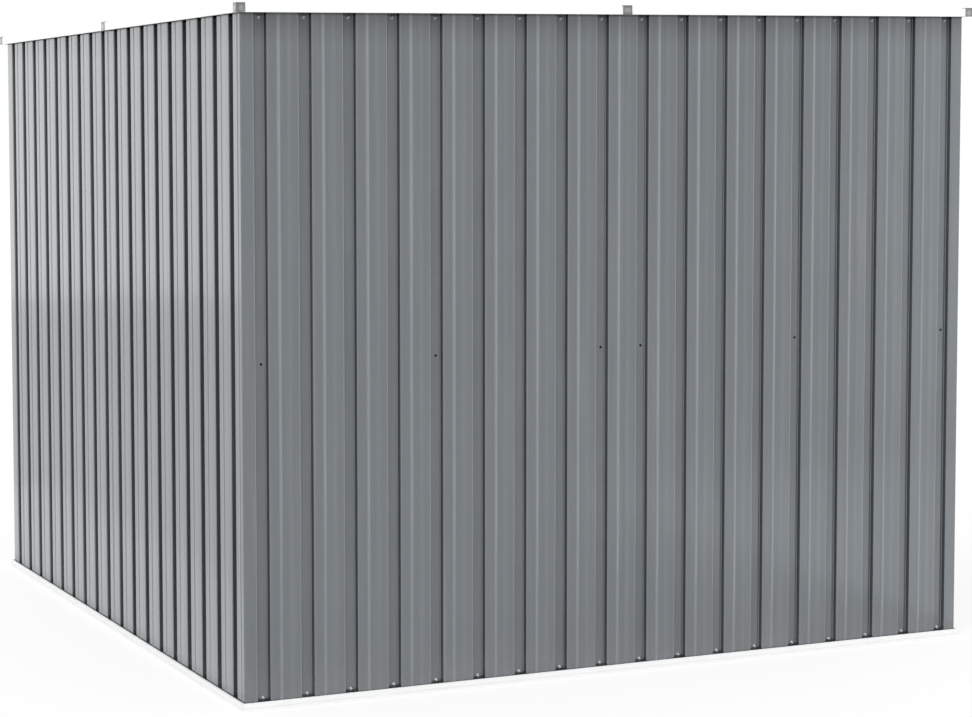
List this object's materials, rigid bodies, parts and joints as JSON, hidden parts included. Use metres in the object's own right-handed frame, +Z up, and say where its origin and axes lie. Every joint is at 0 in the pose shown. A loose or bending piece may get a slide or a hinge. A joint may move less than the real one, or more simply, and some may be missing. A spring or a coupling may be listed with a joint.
{
  "type": "storage shed",
  "caption": "Single-slope sheet-steel storage shed with ribbed walls, white base rails and roof trim, and closed sliding doors in the low front wall.",
  "frame": {"origin": "middle of the underside, on the ground", "axes": "+Z up, +X to the right as seen from the front, +Y from the low front wall with the doors to the high back wall"},
  "size_m": [1.946, 1.9908, 1.5922],
  "materials": {
    "wall_sheet": "satin",
    "white_trim": "satin",
    "frame_steel": "galvanised",
    "cap_plastic": "moulded",
    "handle_plastic": "moulded"
  },
  "bodies": {
    "root": {"base_rail_front": "white_trim", "base_rail_right": "white_trim", "base_rail_back": "white_trim", "base_rail_left": "white_trim", "corner_post_front_left": "frame_steel", "corner_post_front_right": "frame_steel", "corner_post_back_left": "frame_steel", "corner_post_back_right": "frame_steel", "mid_rail_right": "frame_steel", "mid_rail_back": "frame_steel", "mid_rail_left": "frame_steel", "top_rail_front": "frame_steel", "top_rail_right": "frame_steel", "top_rail_back": "frame_steel", "top_rail_left": "frame_steel", "front_panel_left": "wall_sheet", "front_panel_right": "wall_sheet", "door_header": "white_trim", "door_jamb_left": "white_trim", "door_jamb_right": "white_trim", "right_panel_front": "wall_sheet", "right_panel_back": "wall_sheet", "back_panel_right": "wall_sheet", "back_panel_left": "wall_sheet", "left_panel_back": "wall_sheet", "left_panel_front": "wall_sheet", "door_left": "wall_sheet", "door_right": "wall_sheet", "door_handle_left": "handle_plastic", "door_handle_right": "handle_plastic", "roof_panel_left": "wall_sheet", "roof_panel_right": "wall_sheet", "roof_beam": "frame_steel", "roof_trim_front": "white_trim", "roof_trim_right": "white_trim", "roof_trim_back": "white_trim", "roof_trim_left": "white_trim", "corner_cap_front_left": "cap_plastic", "corner_cap_front_right": "cap_plastic", "corner_cap_back_left": "cap_plastic", "corner_cap_back_right": "cap_plastic", "joint_cover_front": "cap_plastic", "joint_cover_right": "cap_plastic", "joint_cover_back": "cap_plastic", "joint_cover_left": "cap_plastic"}
  },
  "joints": []
}
